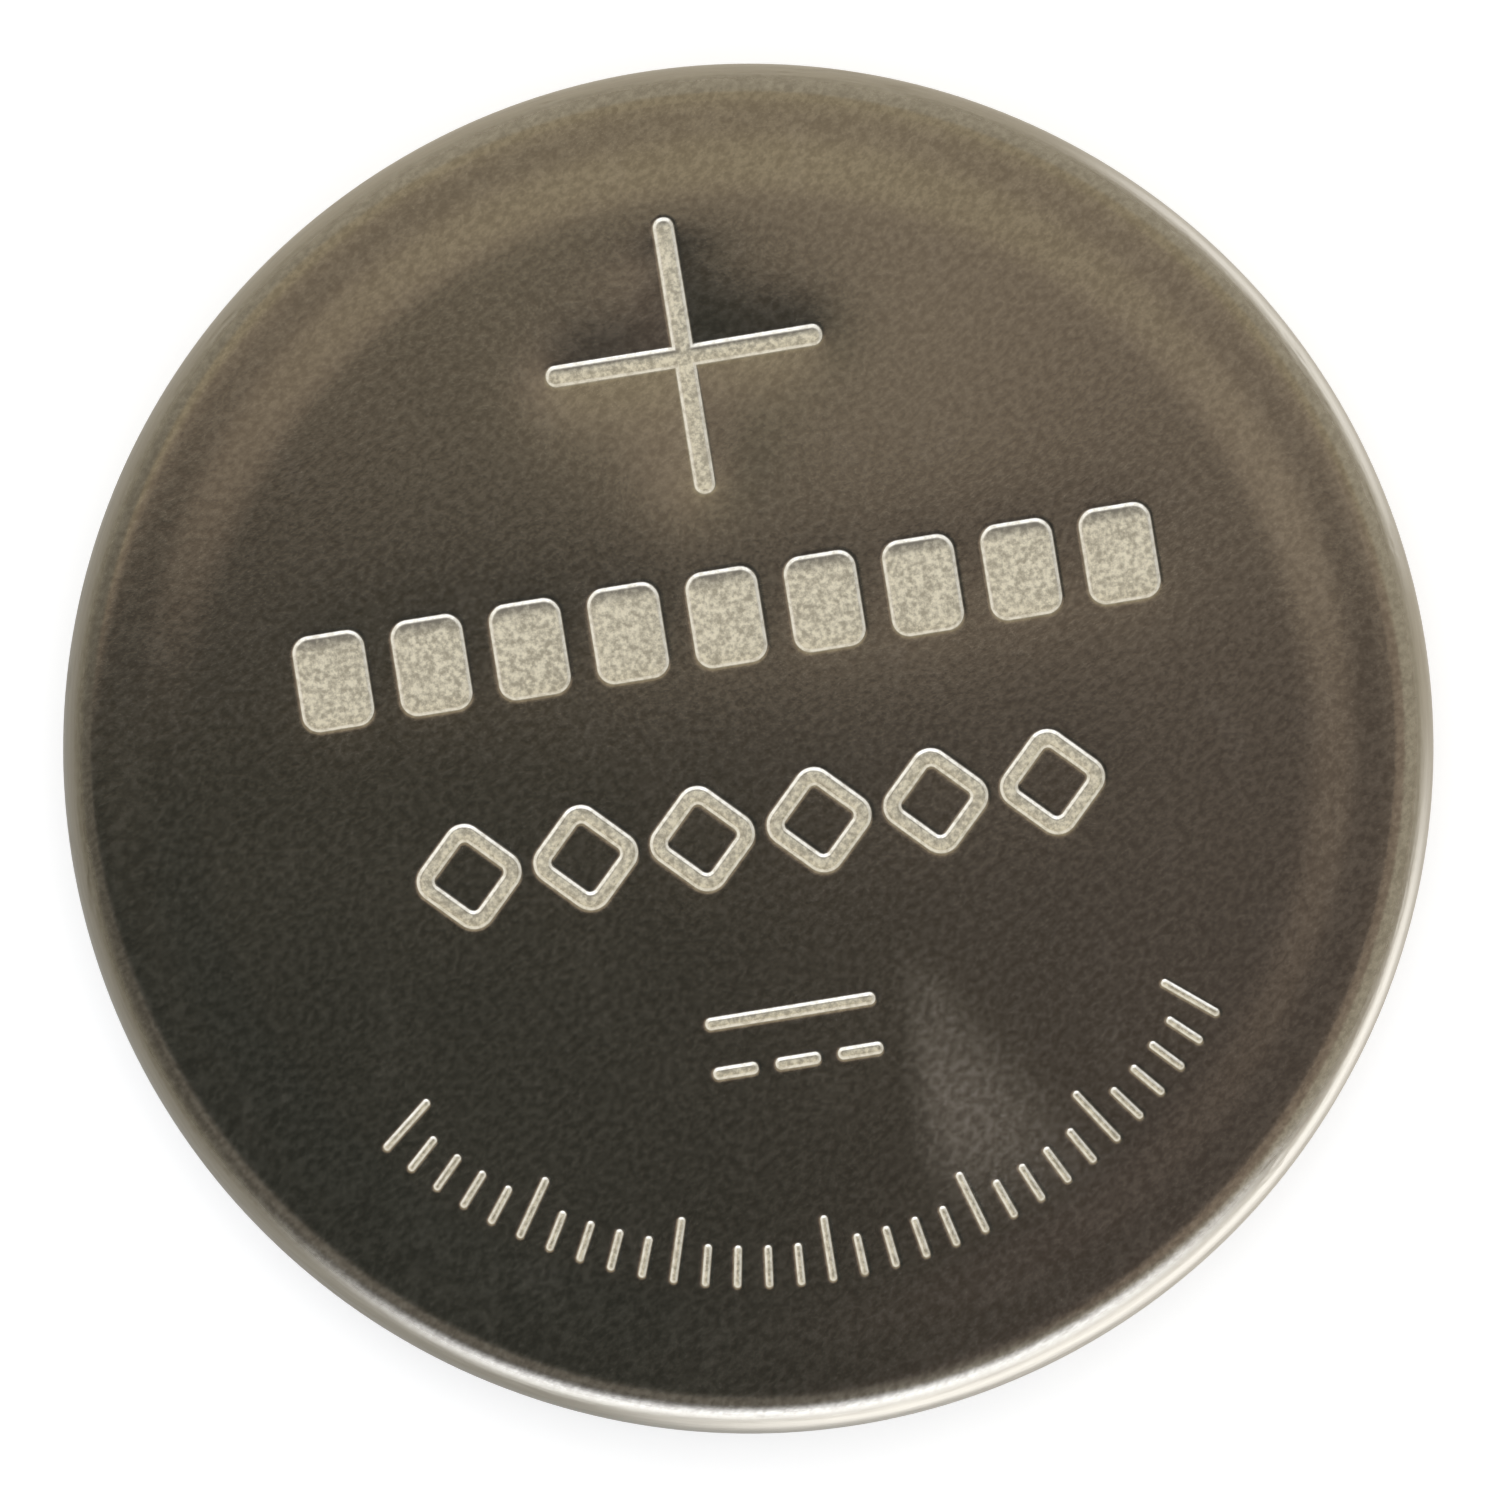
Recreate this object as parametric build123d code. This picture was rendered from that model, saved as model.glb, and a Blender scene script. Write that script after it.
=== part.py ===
from build123d import *
from math import isclose
import os

# A 20 mm x 3.2 mm lithium coin cell, as the pieces that it is crimped together from.
# Frame: origin at the middle of the negative contact face, +Z up through the cell.
# The cell lies on its negative cap. The positive face is uppermost, its plus sign towards +Y.
# Lengths are millimetres. Each turned piece is a half section, radius against height.

# ---- driving dimensions -------------------------------------------------------------------
DIAMETER = 20.0
HEIGHT = 3.2
SHEET = 0.25  # steel thickness of the can and of the cap
SEALANT = 0.01  # film of sealant on both sides of the gasket, left as a gap
GASKET_WALL = 0.3  # gasket thickness where it is squeezed
CAP_PROUD = 0.15  # how far the cap stands out of the crimped edge
SHEARED_BEVEL = 0.03  # bevel on both sides of the can's sheared edge

# Positive can, outside surface
PLATEAU_R = 8.15  # the raised flat that is the positive contact
PLATEAU_STEP = 0.05  # drop from that flat to the ring around it
STEP_WIDTH = 0.7
STEP_ROUND = 6.0  # the step is soft, with large radii at its head and foot
RING_FALL = 0.02  # the ring goes on falling a little towards the rim
RIM_ROUND = 0.6  # face to side wall
CRIMP_ROUND = 0.85  # side wall to the edge rolled in over the gasket
CRIMP_EDGE_R = 8.95  # free edge of the crimp

# Negative cap, outside surface
NECK_R = 8.65
CONTACT_ROUND = 0.35  # contact face to neck
NECK_ROUND = 0.1  # neck to shelf
SKIRT_TOP = 2.5

# Gasket
GASKET_FLOOR_R = 8.3  # how far its floor reaches in under the can's face
GASKET_FLOOR_T = 0.25
GASKET_LIP = 0.28  # width of the lip that holds the cap's skirt from inside
GASKET_LIP_Z = 2.0
GASKET_BEAD_Z = 0.22  # lowest point of the bead that shows between cap and crimp
GASKET_BEAD_ROUND = 0.08

# Stack inside the cell, from the cap up to the can
LITHIUM_R = 7.8
LITHIUM_T = 0.6
SEPARATOR_R = 8.2
SEPARATOR_T = 0.15
PELLET_R = 7.75
PELLET_BEVEL = 0.15
DISC_BEVEL = 0.03  # edges of the lithium, separator and collector discs
COLLECTOR_R = 6.6
COLLECTOR_T = 0.08
COLLECTOR_RIM = 0.45
COLLECTOR_PITCH = 1.15
COLLECTOR_OPENING = 0.85

# Marks pressed into the positive face
MARK_DEPTH = 0.06
MARK_LEAN = 0.03  # how far each wall leans in over that depth
LINE_CORNER = 0.28  # corners cut off a line's ends, as a share of its width
PLUS_Y = 5.75
PLUS_SPAN = 4.07
PLUS_STROKE = 0.3
BLOCK_Y = 1.88  # row of plain blocks
BLOCK_COUNT = 9
BLOCK_PITCH = 1.45
BLOCK_SIZE = (1.05, 1.4)
BLOCK_CORNER = 0.25
DIAMOND_Y = -1.25  # row of diamond outlines
DIAMOND_COUNT = 6
DIAMOND_PITCH = 1.72
DIAMOND_SIDE = 1.26
DIAMOND_STROKE = 0.24
DIAMOND_CORNER = 0.3
ISLAND_CORNER = 0.1
SUPPLY_Y = -4.3  # direct current sign, a bar over three dashes
SUPPLY_SIZE = (2.5, 0.9)
SUPPLY_STROKE = 0.17
SUPPLY_DASHES = 3
SUPPLY_DASH_FILL = 0.72
TICK_R = 7.9  # arc of dial ticks: radius of the outer ends
TICK_COUNT = 31
TICK_STEP = 3.4  # degrees
TICK_STROKE = 0.1
TICK_SHORT = 0.6
TICK_LONG = 0.95
TICKS_PER_LONG = 5

# ---- heights and radii that follow --------------------------------------------------------
RADIUS = DIAMETER / 2
BORE_R = RADIUS - SHEET  # inside of the can's wall
CEILING = HEIGHT - SHEET  # inside of the can's face
RING_Z = HEIGHT - PLATEAU_STEP
RIM_Z = RING_Z - RING_FALL
SKIRT_R = BORE_R - GASKET_WALL  # outside of the cap's skirt
SHELF_Z = CAP_PROUD + SHEET + GASKET_WALL  # underside of the cap's shelf
SHELF_ROUND = CRIMP_ROUND - SHEET - GASKET_WALL  # shelf to skirt, on the crimp's own centre
SEPARATOR_Z = SHEET + LITHIUM_T
PELLET_Z = SEPARATOR_Z + SEPARATOR_T
COLLECTOR_Z = CEILING - COLLECTOR_T


def turned(half_section):
    """The solid that a closed half section sweeps about the cell's axis."""
    return revolve(Plane.XZ * make_face(half_section), Axis.Z, 360)


def pressed_sheet(corners, rounds, inward):
    """Pressed sheet, from the corners and bend radii of its outside surface."""
    return turned(offset(FilletPolyline(corners, radius=rounds), amount=SHEET, side=inward, closed=True))


def disc(radius, bottom, thickness, bevel):
    """A disc with both of its edges bevelled."""
    blank = Pos(0, 0, bottom) * extrude(Circle(radius), thickness)
    return chamfer(blank.edges().filter_by(GeomType.CIRCLE), bevel)


# ---- marks --------------------------------------------------------------------------------
def punch(outline, lean=MARK_LEAN):
    """The tool that presses one mark: its outline on the face, drawn in by the lean at its tip."""
    tip = offset(outline, amount=-lean, kind=Kind.INTERSECTION)
    return loft([Pos(0, 0, HEIGHT) * outline, Pos(0, 0, HEIGHT - MARK_DEPTH) * tip], ruled=True)


def line_punch(length, width):
    """A line along X, with its corners cut off."""
    return punch(chamfer(Rectangle(length, width).vertices(), LINE_CORNER * width))


def row(punch_shape, y, count, pitch):
    """The same punch repeated along X, centred on the cell."""
    return [Pos((i - (count - 1) / 2) * pitch, y) * punch_shape for i in range(count)]


def plus_sign():
    """The plus that marks the positive face."""
    line = line_punch(PLUS_SPAN, PLUS_STROKE)
    return [Pos(0, PLUS_Y) * (line + Rot(0, 0, 90) * line)]


def blocks():
    """A row of plain upright blocks."""
    block = punch(RectangleRounded(*BLOCK_SIZE, BLOCK_CORNER))
    return row(block, BLOCK_Y, BLOCK_COUNT, BLOCK_PITCH)


def diamonds():
    """A row of diamond outlines, each a rounded square on its corner with an island left inside."""
    island_side = DIAMOND_SIDE - 2 * DIAMOND_STROKE
    island = punch(RectangleRounded(island_side, island_side, ISLAND_CORNER), -MARK_LEAN)
    ring = punch(RectangleRounded(DIAMOND_SIDE, DIAMOND_SIDE, DIAMOND_CORNER)) - island
    return row(Rot(0, 0, 45) * ring, DIAMOND_Y, DIAMOND_COUNT, DIAMOND_PITCH)


def supply_sign():
    """The direct current sign: one solid bar over a dashed one."""
    width, height = SUPPLY_SIZE
    pitch = width / (SUPPLY_DASHES - 1 + SUPPLY_DASH_FILL)
    top = (height - SUPPLY_STROKE) / 2
    dash = line_punch(pitch * SUPPLY_DASH_FILL, SUPPLY_STROKE)
    solid_bar = Pos(0, SUPPLY_Y + top) * line_punch(width, SUPPLY_STROKE)
    return [solid_bar] + row(dash, SUPPLY_Y - top, SUPPLY_DASHES, pitch)


def dial_ticks():
    """An arc of radial ticks along the lower edge, every fifth one longer."""
    ticks = []
    for i in range(TICK_COUNT):
        from_middle = i - (TICK_COUNT - 1) // 2
        length = TICK_SHORT if from_middle % TICKS_PER_LONG else TICK_LONG
        tick = Pos(TICK_R - length / 2, 0) * line_punch(length, TICK_STROKE)
        ticks.append(Rot(0, 0, -90 + from_middle * TICK_STEP) * tick)
    return ticks


# ---- pieces -------------------------------------------------------------------------------
def positive_can():
    """Deep-drawn steel cup, mouth down, with its edge rolled in over the gasket."""
    corners = [
        (0, HEIGHT),
        (PLATEAU_R, HEIGHT),
        (PLATEAU_R + STEP_WIDTH, RING_Z),
        (RADIUS, RIM_Z),
        (RADIUS, CAP_PROUD),
        (CRIMP_EDGE_R, CAP_PROUD),
    ]
    can = pressed_sheet(corners, [STEP_ROUND, STEP_ROUND, RIM_ROUND, CRIMP_ROUND], Side.RIGHT)
    circles = can.edges().filter_by(GeomType.CIRCLE)
    sheared = [edge for edge in circles if isclose(edge.radius, CRIMP_EDGE_R, abs_tol=1e-6)]
    can = chamfer(sheared, SHEARED_BEVEL)
    return can - (plus_sign() + blocks() + diamonds() + supply_sign() + dial_ticks())


def negative_cap():
    """Pressed steel cap: the negative contact face, a neck, a shelf and a skirt that stands up."""
    corners = [(0, 0), (NECK_R, 0), (NECK_R, SHELF_Z), (SKIRT_R, SHELF_Z), (SKIRT_R, SKIRT_TOP)]
    return pressed_sheet(corners, [CONTACT_ROUND, NECK_ROUND, SHELF_ROUND], Side.LEFT)


def sealing_gasket():
    """Moulded ring: a floor under the can's face, a wall, a rolled foot, and a lip inside the skirt."""
    roof = RIM_Z - SHEET - SEALANT
    wall_r = BORE_R - SEALANT
    foot = CAP_PROUD + SHEET + SEALANT
    groove_r = SKIRT_R + SEALANT
    groove_z = SKIRT_TOP + SEALANT
    lip_r = SKIRT_R - SHEET - SEALANT
    floor_z = roof - GASKET_FLOOR_T
    corners = [
        ((GASKET_FLOOR_R, roof), 0),
        ((wall_r, roof), RIM_ROUND - SHEET - SEALANT),
        ((wall_r, foot), CRIMP_ROUND - SHEET - SEALANT),
        ((CRIMP_EDGE_R - SEALANT, foot), 0),
        ((CRIMP_EDGE_R - SEALANT, GASKET_BEAD_Z), GASKET_BEAD_ROUND),
        ((NECK_R + SEALANT, GASKET_BEAD_Z), GASKET_BEAD_ROUND),
        ((NECK_R + SEALANT, SHELF_Z - SEALANT), NECK_ROUND - SEALANT),
        ((groove_r, SHELF_Z - SEALANT), SHELF_ROUND + SEALANT),
        ((groove_r, groove_z), 0),
        ((lip_r, groove_z), 0),
        ((lip_r, GASKET_LIP_Z), 0),
        ((lip_r - GASKET_LIP, GASKET_LIP_Z), 0),
        ((lip_r - GASKET_LIP, floor_z), 0),
        ((GASKET_FLOOR_R, floor_z), 0),
    ]
    points, rounds = zip(*corners)
    return turned(FilletPolyline(points, radius=rounds, close=True))


def lithium_anode():
    """Disc of lithium pressed on to the cap."""
    return disc(LITHIUM_R, SHEET, LITHIUM_T, DISC_BEVEL)


def separator():
    """Non-woven disc that keeps the two electrodes apart."""
    return disc(SEPARATOR_R, SEPARATOR_Z, SEPARATOR_T, DISC_BEVEL)


def cathode_pellet():
    """Pressed tablet of manganese dioxide and carbon."""
    return disc(PELLET_R, PELLET_Z, COLLECTOR_Z - PELLET_Z, PELLET_BEVEL)


def collector_grid():
    """Thin metal grid that carries the current from the pellet to the can."""
    opening = Rectangle(COLLECTOR_OPENING, COLLECTOR_OPENING)
    reach = COLLECTOR_R - COLLECTOR_RIM - COLLECTOR_OPENING / 2**0.5
    count = int(2 * COLLECTOR_R / COLLECTOR_PITCH)
    places = GridLocations(COLLECTOR_PITCH, COLLECTOR_PITCH, count, count)
    openings = [place * opening for place in places if place.position.length <= reach]
    sheet = Circle(COLLECTOR_R) - openings
    return Pos(0, 0, COLLECTOR_Z) * Rot(0, 0, 45) * extrude(sheet, COLLECTOR_T)


os.makedirs("parts", exist_ok=True)
for piece in (
    positive_can,
    negative_cap,
    sealing_gasket,
    lithium_anode,
    separator,
    cathode_pellet,
    collector_grid,
):
    export_step(piece(), f"parts/{piece.__name__}.step")
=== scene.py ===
from math import atan, ceil, cos, pi, radians, sin, tan

import bmesh
import bpy
import numpy as np
from mathutils import Matrix, Vector, kdtree
from mathutils.geometry import delaunay_2d_cdt


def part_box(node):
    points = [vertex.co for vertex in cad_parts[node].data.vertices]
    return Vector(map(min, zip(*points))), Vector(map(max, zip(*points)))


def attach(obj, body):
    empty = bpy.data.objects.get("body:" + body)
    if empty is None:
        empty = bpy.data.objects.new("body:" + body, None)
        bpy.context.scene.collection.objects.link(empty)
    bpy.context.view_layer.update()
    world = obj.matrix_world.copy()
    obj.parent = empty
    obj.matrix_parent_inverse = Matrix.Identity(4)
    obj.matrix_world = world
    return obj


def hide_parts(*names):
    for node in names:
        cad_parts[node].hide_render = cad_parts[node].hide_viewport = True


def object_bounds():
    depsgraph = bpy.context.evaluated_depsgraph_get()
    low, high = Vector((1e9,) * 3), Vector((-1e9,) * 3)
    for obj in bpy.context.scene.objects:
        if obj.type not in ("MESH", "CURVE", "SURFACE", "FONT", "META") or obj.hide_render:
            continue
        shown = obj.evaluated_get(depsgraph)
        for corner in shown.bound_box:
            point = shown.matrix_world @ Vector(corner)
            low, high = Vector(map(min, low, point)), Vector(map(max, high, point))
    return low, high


# A 20 mm x 3.2 mm lithium coin cell on a pale table, seen from above.
# Frame: origin at the middle of the negative contact face, +Z up through the cell, +Y towards the
# plus sign. Lengths are metres. Turned pieces are half sections, radius against height.

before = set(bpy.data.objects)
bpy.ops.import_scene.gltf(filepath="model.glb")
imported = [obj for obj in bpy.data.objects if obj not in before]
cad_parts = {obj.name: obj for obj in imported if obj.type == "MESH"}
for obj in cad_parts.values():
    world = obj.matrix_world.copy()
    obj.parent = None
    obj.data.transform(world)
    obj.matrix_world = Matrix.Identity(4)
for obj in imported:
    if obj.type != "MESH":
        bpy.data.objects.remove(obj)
cad_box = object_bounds()

MM = 0.001

# ---- sizes --------------------------------------------------------------------------------
RADIUS = cad_box[1].x
HEIGHT = cad_box[1].z
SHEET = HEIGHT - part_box("collector_grid")[1].z  # steel thickness of the can and of the cap
SEALANT = 0.01 * MM  # film of sealant on both sides of the gasket
CAP_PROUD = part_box("positive_can")[0].z
SKIRT_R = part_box("negative_cap")[1].x
SKIRT_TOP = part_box("negative_cap")[1].z
GASKET_WALL = RADIUS - SHEET - SKIRT_R
SEGMENTS = 288  # facets round every turned piece
ARC_STEP = radians(6)  # each facet of a bend turns by no more than this
RUN_STEP = 0.25 * MM  # longest facet of a straight run

# Positive can, outside surface
PLATEAU_R = 8.15 * MM
PLATEAU_STEP = 0.05 * MM
STEP_WIDTH = 0.7 * MM
STEP_ROUND = 6 * MM
RING_FALL = 0.02 * MM
RIM_ROUND = 0.6 * MM
CRIMP_ROUND = 0.85 * MM
CRIMP_EDGE_R = 8.95 * MM
SHEARED_ROUND = 0.03 * MM
FACE_R = 7.99 * MM  # the stamped part of the face is triangulated out to here
FACE_GRAIN = 0.13 * MM  # spacing of its points away from the marks
ON_EDGE = 0.001 * MM  # a point this near to its edge lies on the edge
MERGE_GAP = 0.0002 * MM  # points this close are one

# Negative cap, outside surface
NECK_R = 8.65 * MM
CONTACT_ROUND = 0.35 * MM
NECK_ROUND = 0.1 * MM

# Gasket
GASKET_FLOOR_R = 8.3 * MM
GASKET_FLOOR_T = 0.25 * MM
GASKET_LIP = 0.28 * MM
GASKET_LIP_Z = SKIRT_TOP - 0.5 * MM
GASKET_BEAD_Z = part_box("sealing_gasket")[0].z
GASKET_EDGE = 0.06 * MM

# Marks pressed into the positive face
MARK_DEPTH = 0.06 * MM
# How a mark is pressed: millimetres outside its outline, and the depth there as a share of the whole.
# The last steps are where its floor curves up to its wall; a thin mark has room for only some of them.
BRINK = 0.03125  # depth where the sheet starts to turn down
PRESS_STEPS = (
    (0.075, 0),
    (0.045, 0),
    (0.022, BRINK),
    (0.004, 0.12),
    (-0.04, 0.84),
    (-0.06, 0.89),
    (-0.12, 0.95),
    (-0.24, 1),
)
EDGE_SHADE_FADE = 14  # how soon the painted shade below an upper edge ends, going down from it
OUTLINE_STEP = 0.1 * MM
STROKE_ROOM = 0.42  # how far in from each side a mark's steps may go, as a share of its width
LINE_END = 0.47  # corner radius of a line's ends, as a share of its width
PLUS_Y = 5.75 * MM
PLUS_SPAN = 4.07 * MM
PLUS_STROKE = 0.3 * MM
BLOCK_Y = 1.88 * MM
BLOCK_COUNT = 9
BLOCK_PITCH = 1.45 * MM
BLOCK_SIZE = (1.05 * MM, 1.4 * MM)
BLOCK_CORNER = 0.25 * MM
DIAMOND_Y = -1.25 * MM
DIAMOND_COUNT = 6
DIAMOND_PITCH = 1.72 * MM
DIAMOND_SIDE = 1.26 * MM
DIAMOND_STROKE = 0.24 * MM
DIAMOND_CORNER = 0.3 * MM
ISLAND_CORNER = 0.1 * MM
SUPPLY_Y = -4.3 * MM
SUPPLY_SIZE = (2.5 * MM, 0.9 * MM)
SUPPLY_STROKE = 0.17 * MM
SUPPLY_DASHES = 3
SUPPLY_DASH_FILL = 0.72
TICK_R = 7.9 * MM
TICK_COUNT = 31
TICK_TURN = radians(3.4)
TICK_STROKE = 0.1 * MM
TICK_SHORT = 0.6 * MM
TICK_LONG = 0.95 * MM
TICKS_PER_LONG = 5

# How the sheet sinks softly around what is pressed into it
PRESSED = 0.8  # depth from which a spot counts as pressed, as a share of the whole
PLUS_PULL = 3.0  # how strongly the sheet sinks round each kind of mark
BLOCK_PULL = 0.25
DIAMOND_PULL = 0.3
LINE_PULL = 0.3
TICK_PULL = 0.15
DISH_DEPTH = 0.15 * MM
DISH_SPREAD = 0.42 * MM
PULL_FADE = 1.6 * MM  # the pull weakens over this width towards the edge of the stamped face
DISH_FADE = 0.8 * MM  # and the sheet is flat again at that edge, over this width

# Finish of the can: each pair is the darker and the lighter colour of a grain
PLATING = ((0.41, 0.38, 0.335, 1), (0.66, 0.63, 0.56, 1))
# lighter tone of the wedge's painted highlight and of the smears
HIGHLIGHT_AND_SMEARS = (0.60, 0.50, 0.45, 1)
FROST = ((0.39, 0.36, 0.285, 1), (0.79, 0.745, 0.605, 1))
# painted shade that darkens the floors of the marks below their upper edges
SHADED_FROST = (0.22, 0.204, 0.17, 1)
# burnished edges of the marks, painted pale as the highlights on their shoulders
BURNISHED_HIGHLIGHT = ((0.70, 0.66, 0.56, 1), (0.97, 0.945, 0.86, 1))
# painted shade: the side wall is darker and warmer than its plating, standing in for the dim room it
# reflects; the draw lines are its own
DRAWN_WALL_SHADE = ((0.27, 0.245, 0.20, 1), (0.39, 0.36, 0.295, 1))
FROST_ROUGHNESS = 0.38
PLATING_RELIEF = 0.0025  # depth of the grain, in millimetres
WALL_BORDER = (9.62, 9.86)  # from the face's finish to the wall's, in millimetres from the axis
WEDGE_TOP = -2.9  # where the wedge of painted highlight starts on Y, in millimetres
WEDGE_LEFT = 1.6  # and where its left edge stands on X

# View: the cell lies turned anticlockwise, and the camera leans towards its near side
CELL_TURN = radians(9.2)
CAMERA_LEAN = radians(3)
CAMERA_DISTANCE = 250 * MM
VIEW_WIDTH = 21.94 * MM
VIEW_UP = Vector((sin(CELL_TURN), cos(CELL_TURN), 0))
VIEW_RIGHT = Vector((cos(CELL_TURN), -sin(CELL_TURN), 0))
LEAN_TURN = radians(70)  # from the right, clockwise to the side that the camera leans to
CAMERA_SIDE = VIEW_RIGHT * cos(LEAN_TURN) - VIEW_UP * sin(LEAN_TURN)

# Table: white to the eye. The metal shows painted light on it instead: tan, darker on the dim side, with
# a painted glare where a window and a lamp would strike it.
# Each direction is a share to the right and a share ahead, as the camera sees them.
TABLE_SIDE = 1.2
TABLE_GAP = 0.01 * MM  # clearance under the cell
TABLE_PAPER = (0.66, 0.67, 0.69, 1)
TABLE_GLOW = 0.49
TABLE_SHINE = ((0.02, 0.02, 0.015, 1), (0.34, 0.29, 0.21, 1))  # to the left, and to the right
TABLE_GLARE = (3.1, 3.25, 3.65, 1)
GLARE_NEAR = (0.64, -0.77)
GLARE_FAR = (0.78, 0.63)
GLARE_FAR_SHARE = 0.6
GLARE_START = (11, 17)  # where the glare comes in and goes out, in millimetres from the middle
GLARE_END = (26, 50)
HIDDEN_EDGE = (9.0, 9.4)  # under the cell the table is clear, up to here, in millimetres from its middle
BRIGHT_SIDE = (0.75, 0.66)  # the side of the table and the room that is brighter

# Ceiling and room, as the metal shows them
PANEL_HEIGHT = 70 * MM
PANEL_SIDE = 110 * MM
PANEL_DARK = (0.035, 0.039, 0.036, 1)
PANEL_DIM = (0.097, 0.08, 0.071, 1)
PANEL_WARM = (0.31, 0.25, 0.20, 1)
PANEL_FAR = (0.42, 0.36, 0.255, 1)
PANEL_NEAR = (0.19, 0.175, 0.15, 1)
PANEL_DIP = 1  # the border of the near and the far side is lowest here, in millimetres to the right
PANEL_RISE = 0.03  # it rises on both sides, by this share of the distance squared
PANEL_RISE_END = 60  # as long as that square is no more than this
PANEL_PATCHES = (  # colour, place to the right and up, and radius, in millimetres
    ((0.115, 0.112, 0.08, 1), -5.2, 11.2, 5),
    ((0.42, 0.345, 0.27, 1), 2.0, 8.8, 4.4),
    ((0.13, 0.108, 0.092, 1), 7.8, 7.8, 4.5),
    ((0.42, 0.35, 0.275, 1), 17.5, 11.5, 6),
)
ROOM_LEFT = ((0.44, 0.41, 0.33, 1), (0.13, 0.12, 0.10, 1))  # low down, and higher up
ROOM_RIGHT = ((0.70, 0.65, 0.55, 1), (0.47, 0.43, 0.345, 1))
WINDOW = (3.0, 3.15, 3.5, 1)
WINDOW_SIDE = (0.105, -0.9945)
WHITE = (1, 1, 1, 1)
RAYS = ("Camera", "Glossy", "Transmission")
LAMP_SIDE = 0.6
LAMP_HEIGHT = 0.6
LAMP_POWER = 2.8
LAMP_PLACE = (-0.05, 0.12)  # to the right, and up


# ---- node trees ---------------------------------------------------------------------------
class Value:
    """An output socket of a node tree. Sums and products of values add Math nodes to the tree."""

    def __init__(self, tree, socket):
        self.tree = tree
        self.socket = socket

    def math(self, operation, *others):
        values = dict(enumerate((self, *others)))
        return self.tree.node("ShaderNodeMath", {"operation": operation}, values)

    def __add__(self, other):
        return self.math("ADD", other)

    def __sub__(self, other):
        return self.math("SUBTRACT", other)

    def __mul__(self, other):
        return self.math("MULTIPLY", other)

    def __truediv__(self, other):
        return self.math("DIVIDE", other)

    def __rsub__(self, other):
        return self.tree.node("ShaderNodeMath", {"operation": "SUBTRACT"}, {0: other, 1: self})

    def __rtruediv__(self, other):
        return self.tree.node("ShaderNodeMath", {"operation": "DIVIDE"}, {0: other, 1: self})

    __radd__ = __add__
    __rmul__ = __mul__

    def ramp(self, low, high):
        """0 below low, 1 above high, and a soft change between them."""
        settings = {"interpolation_type": "SMOOTHSTEP"}
        inputs = {"Value": self, "From Min": low, "From Max": high}
        return self.tree.node("ShaderNodeMapRange", settings, inputs)


class Tree:
    """A node tree that is written as expressions."""

    def __init__(self, node_tree):
        self.node_tree = node_tree

    def make(self, kind, settings, inputs):
        made = self.node_tree.nodes.new(kind)
        for name, value in settings.items():
            setattr(made, name, value)
        for key, value in inputs.items():
            if isinstance(value, Value):
                self.node_tree.links.new(value.socket, made.inputs[key])
            else:
                made.inputs[key].default_value = value
        return made

    def node(self, kind, settings=None, inputs=None, output=0):
        """A new node's output. Its settings are set first, then the values or links of its inputs."""
        made = self.make(kind, settings or {}, inputs or {})
        return Value(self, made.outputs[output])

    def vector_math(self, operation, *vectors, output=0):
        inputs = dict(enumerate(vectors))
        return self.node("ShaderNodeVectorMath", {"operation": operation}, inputs, output)

    def combine(self, x, y, z):
        return self.node("ShaderNodeCombineXYZ", {}, {0: x, 1: y, 2: z})

    def mixed(self, factor, first, second):
        """One colour changing to another."""
        inputs = {0: factor, 6: first, 7: second}
        return self.node("ShaderNodeMix", {"data_type": "RGBA"}, inputs, output=2)

    def parts(self, vector):
        """The X, Y and Z of a vector."""
        split = self.make("ShaderNodeSeparateXYZ", {}, {0: vector})
        return [Value(self, socket) for socket in split.outputs]


class Shape(Tree):
    """A Geometry Nodes tree, with its inputs named."""

    def __init__(self, name, **kinds):
        super().__init__(bpy.data.node_groups.new(name, "GeometryNodeTree"))
        outside = self.node_tree.interface
        for label, kind in {"Geometry": "Geometry", **kinds, "Material": "Material"}.items():
            outside.new_socket(label.replace("_", " "), in_out="INPUT", socket_type=f"NodeSocket{kind}")
        outside.new_socket("Geometry", in_out="OUTPUT", socket_type="NodeSocketGeometry")
        entry = self.node_tree.nodes.new("NodeGroupInput")
        self.given = {socket.name: Value(self, socket) for socket in entry.outputs if socket.name}

    def end(self, geometry):
        """Instances made real, the material set, and the tree's output."""
        real = self.node("GeometryNodeRealizeInstances", {}, {"Geometry": geometry})
        inputs = {"Geometry": real, "Material": self.given["Material"]}
        painted = self.node("GeometryNodeSetMaterial", {}, inputs)
        self.make("NodeGroupOutput", {}, {"Geometry": painted})

    def grow(self, name, mesh, material, **values):
        """The plain mesh that the tree makes from a mesh, under the given inputs."""
        seed = bpy.data.objects.new(name + "_seed", mesh)
        bpy.context.scene.collection.objects.link(seed)
        modifier = seed.modifiers.new("shape", "NODES")
        modifier.node_group = self.node_tree
        outside = self.node_tree.interface.items_tree
        sockets = {s.name: s.identifier for s in outside if s.in_out == "INPUT"}
        modifier[sockets["Material"]] = material
        for label, value in values.items():
            modifier[sockets[label.replace("_", " ")]] = value
        graph = bpy.context.evaluated_depsgraph_get()
        grown = bpy.data.meshes.new_from_object(seed.evaluated_get(graph), depsgraph=graph)
        grown.name = name
        bpy.data.objects.remove(seed)
        return grown


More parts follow.
